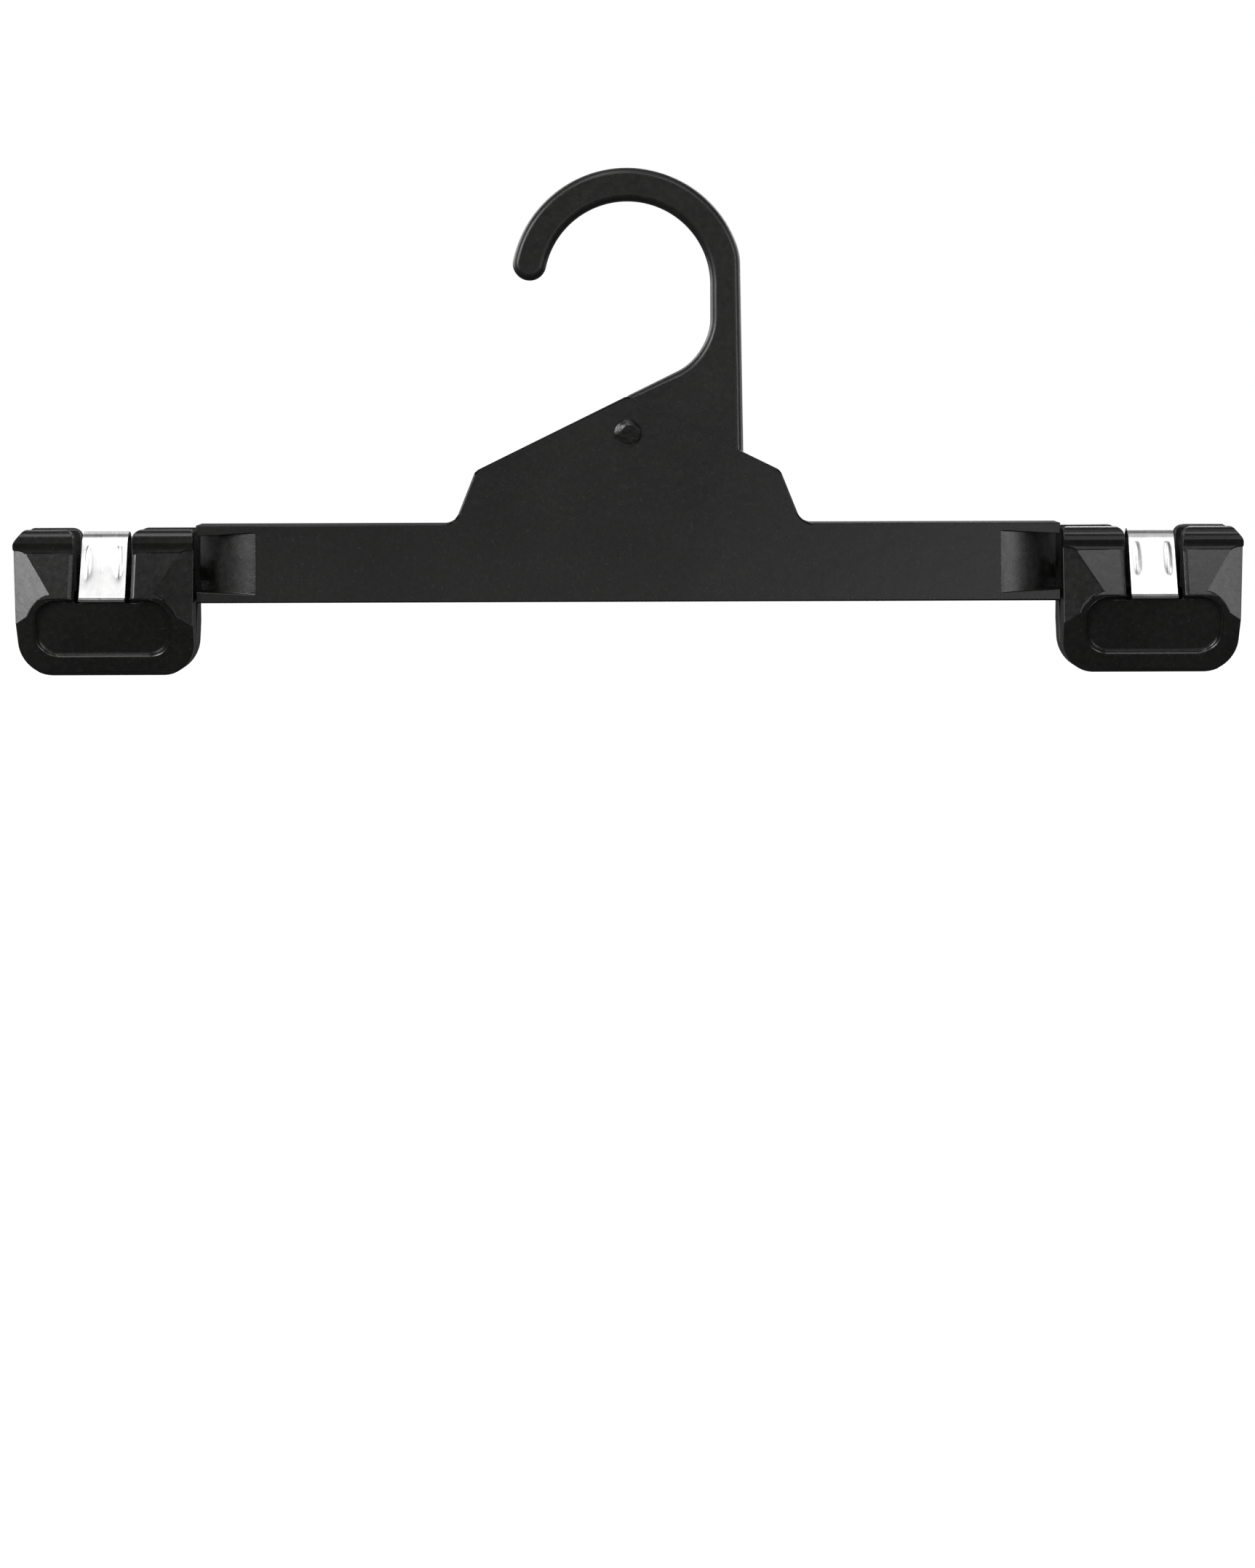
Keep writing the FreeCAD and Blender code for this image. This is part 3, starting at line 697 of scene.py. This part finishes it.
def rampPoint(turn, depth):                     # on the web's curve: along the bar, then in depth
    first, last = rampTurns()[0], rampTurns()[-1]
    radius = (flangeEnd - body["rampStart"]) / (math.sin(last) - math.sin(first))
    return (body["rampStart"] + radius * (math.sin(turn) - math.sin(first)),
            barFront + radius * (math.cos(first) - math.cos(turn)) + depth, 0)


def rampWeb(side):
    turns = rampTurns()
    bite = body["wall"] / 4
    root = body["rampStart"] - bite
    outline = [(root, barFront + bite, 0)] + [rampPoint(turn, 0) for turn in turns]
    outline += [rampPoint(turn, body["wall"]) for turn in reversed(turns[1:])]
    outline.append((root, barFront + 3 * bite, 0))
    foot = barBottom + body["flangeRoot"] / 2
    web = drawSheet("web", outline, lambda across, depth: (side * across, depth, foot))
    return thicken(web, (0, 0, body["barHeight"] - body["flangeRoot"]))


def barEnd(side):                               # wall that ends the channel, and the rear jaw's root
    seam, step = body["seam"], body["rootStep"]
    start = flangeEnd - body["endWall"]
    floor = rampPoint(rampTurns()[-1], 0)[1]
    ends = sorted((side * start, side * flangeEnd))
    obj = block("endWall", (ends[0], floor + step, barBottom), (ends[1], -barFront, barTop))
    rootEnd = clipCentre - jawWidth / 2 + jaw["sideWall"] - step
    root = drawSheet("root", jawSection(),
                     lambda reach, drop: (side * (start + step), reach - seam, clipTop - seam - drop))
    thicken(root, (side * (rootEnd - start - step), 0, 0))
    ends = sorted((side * start, side * (rootEnd + spare)))
    low, high = (ends[0], barFront, barBottom + step), (ends[1], -barFront - step, barTop + spare)
    combine(root, block("room", low, high), "INTERSECT")
    combine(obj, root, "UNION")
    return obj


def addRibs(obj):                               # upright ribs across the open back
    pitch = 2 * body["rampStart"] / (2 * body["ribsPerSide"] + 1)
    half, bite = body["ribThickness"] / 2, body["ribBite"]
    for index in range(2 * body["ribsPerSide"]):
        middle = (index + 1) * pitch - body["rampStart"]
        top = outlineHeight(abs(middle) + half) - bite
        low = (middle - half, barFront + body["wall"] - bite, barBottom + body["wall"] - bite)
        high = (middle + half, -barFront - body["ribSetback"], top)
        combine(obj, block("rib", low, high), "UNION")


def rearJaw(shell, side):
    obj = copyOf(shell, "rearJaw")
    mirror(obj, toBack)
    addBeads(obj)
    shift(obj, (clipCentre, 0, clipTop))
    if side < 0:
        mirror(obj, toLeft)
    return obj


def buildBody(shell):
    obj = bodyBlock()
    hollowBack(obj)
    addRibs(obj)
    combine(obj, hookPlate(), "UNION")
    for side in (1, -1):
        openEnd(obj, side)
        combine(obj, rampWeb(side), "UNION")
        combine(obj, barEnd(side), "UNION")
    soften(obj, body["edgeRound"], body["edgeSteps"], body["sharpest"])
    for side in (1, -1):
        attach(obj, rearJaw(shell, side))
    return obj


# Pieces in their places

springMaster = buildSpring()
shellMaster = jawShell()
moulding = buildBody(shellMaster)
moulding.name = "hangerMoulding"
addCradles(shellMaster)
for name, piece in (("spring", springMaster), ("front jaw", shellMaster), ("moulding", moulding)):
    print("on the bench:", name, len(piece.data.polygons), "faces")
clipPieces = {}
for word, side in (("left", -1), ("right", 1)):
    frontJaw = copyOf(shellMaster, word + "FrontJaw")
    strip = copyOf(springMaster, word + "Spring")
    if side < 0:
        mirror(frontJaw, toLeft)
    for obj in (frontJaw, strip):
        settle(obj, (side * clipCentre, 0, clipTop))
    evenNormals(frontJaw)
    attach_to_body(frontJaw, word + "_jaw")
    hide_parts(word + "_clip_jaw")
    word + "_jaw"
    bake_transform(strip)
    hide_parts(word + "_clip_spring")
    clipPieces[word] = (frontJaw, strip)
print("clip pieces placed")


# Stub of the moulding gate: a torn disc on the front of the body, worn to a slope at its upper left

gate = {
    "drop": 30.9, "radius": 2.85, "sides": 96, "foot": 0.3, "height": 0.5, "rim": 0.9, "rings": 14,
    "lean": (0.6, -0.2), "nod": 13.0,
    "pitScale": 0.9, "pitDepth": 0.12, "tearScale": 2.4, "tearDepth": 0.22,
}


def buildGate():
    deselectAll()
    bpy.ops.mesh.primitive_cylinder_add(vertices=gate["sides"], radius=gate["radius"],
                                        depth=gate["foot"], rotation=(math.pi / 2, 0, 0))
    obj = placed("gateStub")
    edit(obj)
    pick(obj, "FACE", lambda face: face.normal.y < -facing)
    across, upwards = gate["lean"]
    rings = gate["rings"]
    for ring in range(rings):                   # the slope, wide at the upper left
        bpy.ops.mesh.inset(thickness=gate["rim"] / rings, depth=gate["height"] / rings)
        bpy.ops.transform.translate(value=(across / rings, 0, upwards / rings))
        share = (ring + 1) / rings
        centre = (0, -gate["foot"] / 2 - gate["height"] * share, upwards * share)
        bpy.ops.transform.rotate(value=-math.radians(gate["nod"] / rings), orient_axis="X",
                                 center_override=centre)
    for ring in range(rings):                   # the torn top
        bpy.ops.mesh.inset(thickness=(gate["radius"] - gate["rim"]) / (rings + 1))
    bpy.ops.mesh.poke()
    bpy.ops.object.mode_set(mode="OBJECT")
    for scale, depth in ((gate["tearScale"], gate["tearDepth"]), (gate["pitScale"], gate["pitDepth"])):
        pits = bpy.data.textures.new("gatePits", "CLOUDS")
        pits.noise_scale = scale
        addModifier(obj, "DISPLACE", {"texture": pits, "texture_coords": "LOCAL", "direction": "Y",
                                      "strength": depth, "mid_level": 0.5})
    shift(obj, (0, barFront, -gate["drop"]))
    return obj


attach(moulding, buildGate())
settle(moulding, (0, 0, 0))
evenNormals(moulding)
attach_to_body(moulding, "hanger")
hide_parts("hanger_body")
for master in (springMaster, shellMaster):
    bpy.data.objects.remove(master)
print("moulding placed")


# Materials: a wire is a node's output, and sums on wires add Math nodes

class Wire:
    def __init__(self, bench, socket):
        self.bench = bench
        self.socket = socket

    def math(self, operation, first, second):
        return self.bench.add("ShaderNodeMath", {"operation": operation}, {0: first, 1: second})

    def __add__(self, other):
        return self.math("ADD", self, other)

    def __radd__(self, other):
        return self.math("ADD", other, self)

    def __sub__(self, other):
        return self.math("SUBTRACT", self, other)

    def __rsub__(self, other):
        return self.math("SUBTRACT", other, self)

    def __mul__(self, other):
        return self.math("MULTIPLY", self, other)

    def __rmul__(self, other):
        return self.math("MULTIPLY", other, self)


class Bench:                                    # one node tree and the one way to add nodes to it
    def __init__(self, tree):
        self.tree = tree

    def add(self, kind, settings=None, inputs=None, output=0):
        node = self.tree.nodes.new(kind)
        for key, value in (settings or {}).items():
            if key == "stops":
                for stop, (position, level) in zip(node.color_ramp.elements, value):
                    stop.position = position
                    stop.color = (level, level, level, 1)
            else:
                setattr(node, key, value)
        for key, value in (inputs or {}).items():
            if isinstance(value, Wire):
                self.tree.links.new(value.socket, node.inputs[key])
            else:
                node.inputs[key].default_value = value
        return Wire(self, node.outputs[output])

    def noise(self, place, scale, detail=2.0, rough=0.5):
        return self.add("ShaderNodeTexNoise", {}, {"Vector": place, "Scale": scale, "Detail": detail,
                                                   "Roughness": rough})

    def ramp(self, level, start, end):          # a straight step from 0 to 1
        return self.add("ShaderNodeValToRGB", {"stops": ((start, 0), (end, 1))}, {"Fac": level})

    def rise(self, level, start, end):          # a soft step from 0 to 1
        return self.add("ShaderNodeMapRange", {"interpolation_type": "SMOOTHSTEP"},
                        {"Value": level, "From Min": start, "From Max": end, "To Min": 0, "To Max": 1})

    def part(self, vector, axis):
        return self.add("ShaderNodeSeparateXYZ", {}, {"Vector": vector}, axis)

    def bump(self, level, strength, height, below=None):
        inputs = {"Strength": strength, "Distance": height, "Height": level}
        if below:
            inputs["Normal"] = below
        return self.add("ShaderNodeBump", {}, inputs)

    def blendColours(self, share, first, second):
        return self.add("ShaderNodeMix", {"data_type": "RGBA"}, {0: share, 6: first, 7: second}, 2)


def newMaterial(name):
    material = bpy.data.materials.new(name)
    material.use_nodes = True
    bench = Bench(material.node_tree)
    return material, bench, material.node_tree.nodes["Principled BSDF"]


def connect(bench, shader, links):
    for key, wire in links.items():
        bench.tree.links.new(wire.socket, shader.inputs[key])


plastic = {
    "dark": (0.0080, 0.0080, 0.0076, 1), "light": (0.0165, 0.0165, 0.0157, 1),
    "cloudScale": 45, "mottleScale": 900, "speckScale": 1700, "grainScale": 4200, "rippleScale": 260,
    "cloudShare": 0.5, "mottleShare": 0.5, "toneFrom": 0.35, "toneTo": 0.68,
    "speck": (0.045, 0.045, 0.043, 1), "speckShare": 0.35, "speckFrom": 0.66, "speckTo": 0.74,
    "rough": 0.14, "cloudRough": 0.08, "mottleRough": 0.12,
    "rippleStrength": 0.08, "rippleHeight": 0.0004, "grainStrength": 0.22, "grainHeight": 0.00006,
    "railWear": 0.10, "wornFrom": -0.036, "wornTo": -0.024,
}


def blackPlastic():
    material, bench, shader = newMaterial("blackPlastic")
    place = bench.add("ShaderNodeTexCoord", output=3)
    cloud = bench.noise(place, plastic["cloudScale"], detail=3)
    mottle = bench.noise(place, plastic["mottleScale"], detail=3)
    grain = bench.noise(place, plastic["grainScale"], rough=0.6)
    ripple = bench.noise(place, plastic["rippleScale"])
    speck = bench.noise(place, plastic["speckScale"], detail=1)
    speck = bench.ramp(speck, plastic["speckFrom"], plastic["speckTo"])
    tone = cloud * plastic["cloudShare"] + mottle * plastic["mottleShare"]
    tone = bench.ramp(tone, plastic["toneFrom"], plastic["toneTo"])
    colour = bench.blendColours(tone, plastic["dark"], plastic["light"])
    colour = bench.blendColours(speck * plastic["speckShare"], colour, plastic["speck"])
    worn = bench.rise(bench.part(place, 2), plastic["wornFrom"], plastic["wornTo"])
    rough = cloud * plastic["cloudRough"] + mottle * plastic["mottleRough"] + plastic["rough"]
    rough = rough + worn * plastic["railWear"]  # the hook is rubbed dull by rails
    soft = bench.bump(ripple, plastic["rippleStrength"], plastic["rippleHeight"])
    fine = bench.bump(grain, plastic["grainStrength"], plastic["grainHeight"], soft)
    connect(bench, shader, {"Base Color": colour, "Roughness": rough, "Normal": fine})
    return material


steel = {
    "dark": (0.70, 0.70, 0.70, 1), "light": (0.90, 0.90, 0.895, 1), "grain": (1, 0.06, 0.06),
    "streakScale": 6500, "broadScale": 900, "cloudScale": 300,
    "streakShare": 0.4, "cloudShare": 0.6, "toneFrom": 0.3, "toneTo": 0.62,
    "rough": 0.13, "streakRough": 0.12, "broadRough": 0.10, "cloudRough": 0.10,
    "lineStrength": 0.10, "lineHeight": 0.00003,
}


def springSteel():
    material, bench, shader = newMaterial("springSteel")
    place = bench.add("ShaderNodeTexCoord", output=3)
    drawn = bench.add("ShaderNodeMapping", {}, {"Vector": place, "Scale": steel["grain"]})
    streak = bench.noise(drawn, steel["streakScale"], detail=3, rough=0.6)
    broad = bench.noise(drawn, steel["broadScale"])
    cloud = bench.noise(place, steel["cloudScale"], detail=3)
    tone = streak * steel["streakShare"] + cloud * steel["cloudShare"]
    tone = bench.ramp(tone, steel["toneFrom"], steel["toneTo"])
    colour = bench.blendColours(tone, steel["dark"], steel["light"])
    rough = streak * steel["streakRough"] + broad * steel["broadRough"] + cloud * steel["cloudRough"]
    rough = rough + steel["rough"]
    lines = bench.bump(streak, steel["lineStrength"], steel["lineHeight"])
    connect(bench, shader, {"Base Color": colour, "Roughness": rough, "Normal": lines})
    shader.inputs["Metallic"].default_value = 1.0
    return material


def dress(obj, material):
    obj.data.materials.clear()
    obj.data.materials.append(material)


blackSatin = blackPlastic()
brightSteel = springSteel()
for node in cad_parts.values():
    dress(node, brightSteel if "spring" in node.name else blackSatin)
dress(moulding, blackSatin)
for frontJaw, strip in clipPieces.values():
    dress(frontJaw, blackSatin)
    dress(strip, brightSteel)
print("materials made")


# Stage: pale floor, soft lights and the camera at the photograph's viewing angle

stage = {
    "floorDrop": 0.34, "floorSize": 8.0, "floorDark": (0.90, 0.90, 0.90, 1),
    "floorLight": (0.96, 0.96, 0.96, 1), "floorScale": 6, "floorRough": 0.9, "floorGlow": 0.9,
    "cameraBack": 0.65, "cameraUp": -0.020, "frameWide": 1725, "frameHigh": 2156, "originX": 862.5,
    "originY": 391, "millimetrePerPixel": 0.1496, "roll": 0.2, "frontReach": 0.0075, "sensor": 36.0,
    "room": (0.07, 0.07, 0.07, 1), "backdrop": (0.7, 0.7, 0.7, 1), "white": (1, 1, 1, 1),
    "backdropFrom": 0.1, "backdropTo": 0.8, "raisedFrom": 0.25, "raisedTo": 0.6, "aim": (0, 0, -0.045),
}

# Azimuth and elevation in degrees, distance, width and height in metres, power in watts
lights = {
    "leftBox": (-45, 17, 1.1, 0.27, 0.62, 6.3),
    "rightBox": (46, 9, 1.1, 0.25, 0.62, 2.2),
    "overLeftBox": (-18, 53, 1.1, 0.34, 0.64, 2.1),
    "overRightBox": (18, 35, 1.1, 0.34, 0.34, 1.1),
    "zenithLeftBox": (-36, 74, 1.1, 0.22, 0.30, 0.24),
    "zenithRightBox": (36, 64, 1.1, 0.26, 0.55, 0.36),
    "earBox": (168, 33, 1.2, 0.26, 0.40, 1.8),
    "frontFill": (16, -8, 1.1, 0.40, 0.30, 0.45),
    "leftFill": (-5, -8, 1.1, 0.32, 0.30, 0.13),
    "sideLeftBox": (-108, 12, 1.1, 0.80, 0.70, 6),
    "sideRightBox": (108, 12, 1.1, 0.80, 0.70, 3),
    "backLeftBox": (-140, 25, 1.2, 0.6, 0.9, 5),
    "backRightBox": (140, 25, 1.2, 0.6, 0.9, 5),
}


def buildFloor():
    floor = newPlane("floor", stage["floorSize"])
    floor.location.z = -stage["floorDrop"]
    bpy.ops.object.transform_apply(location=True, rotation=True, scale=True)
    material, bench, shader = newMaterial("paleFloor")
    place = bench.add("ShaderNodeTexCoord", output=3)
    cloud = bench.noise(place, stage["floorScale"])
    tone = bench.blendColours(cloud, stage["floorDark"], stage["floorLight"])
    connect(bench, shader, {"Base Color": tone})
    shader.inputs["Roughness"].default_value = stage["floorRough"]
    shader.inputs["Emission Color"].default_value = stage["white"]
    shader.inputs["Emission Strength"].default_value = stage["floorGlow"]
    dress(floor, material)
    floor.visible_diffuse = False
    floor.visible_glossy = False


def softbox(name, azimuth, elevation, distance, wide, high, power):
    turn, lift = math.radians(azimuth), math.radians(elevation)
    away = Vector((math.sin(turn) * math.cos(lift), -math.cos(turn) * math.cos(lift), math.sin(lift)))
    light = bpy.data.lights.new(name, "AREA")
    light.shape = "RECTANGLE"
    light.size, light.size_y, light.energy = wide, high, power
    lamp = bpy.data.objects.new(name, light)
    bpy.context.scene.collection.objects.link(lamp)
    lamp.location = Vector(stage["aim"]) + away * distance
    lamp.rotation_euler = away.to_track_quat("Z", "Y").to_euler()
    lamp.visible_camera = False


def buildWorld():
    world = bpy.data.worlds.new("studio")
    bpy.context.scene.world = world
    world.use_nodes = True
    bench = Bench(world.node_tree)
    looking = bench.add("ShaderNodeLightPath")
    direction = bench.add("ShaderNodeTexCoord")
    behind = bench.rise(bench.part(direction, 1), stage["backdropFrom"], stage["backdropTo"])
    raised = bench.rise(bench.part(direction, 2), stage["raisedFrom"], stage["raisedTo"])
    room = bench.blendColours(behind * raised, stage["room"], stage["backdrop"])
    room = bench.blendColours(looking, room, stage["white"])
    bench.tree.links.new(room.socket, world.node_tree.nodes["Background"].inputs["Color"])


def buildCamera():
    camera = bpy.data.cameras.new("photoView")
    camera.sensor_width = stage["sensor"]
    tall = stage["frameHigh"] * stage["millimetrePerPixel"] * mm    # frame height at the clips' front
    camera.lens = stage["sensor"] * (stage["cameraBack"] - stage["frontReach"]) / tall
    middle = tall * stage["cameraBack"] / (stage["cameraBack"] - stage["frontReach"])
    rise = (stage["frameHigh"] / 2 - stage["originY"]) / stage["frameHigh"]
    camera.shift_y = -rise - stage["cameraUp"] / middle
    camera.shift_x = (stage["frameWide"] / 2 - stage["originX"]) / stage["frameHigh"]
    viewer = bpy.data.objects.new("photoView", camera)
    bpy.context.scene.collection.objects.link(viewer)
    viewer.location = (0, -stage["cameraBack"], stage["cameraUp"])
    viewer.rotation_euler = (math.pi / 2, math.radians(stage["roll"]), 0)
    bpy.context.scene.camera = viewer


buildFloor()
for name, placing in lights.items():
    softbox(name, *placing)
buildWorld()
buildCamera()
bpy.context.scene.view_settings.view_transform = "Standard"
print("stage set")
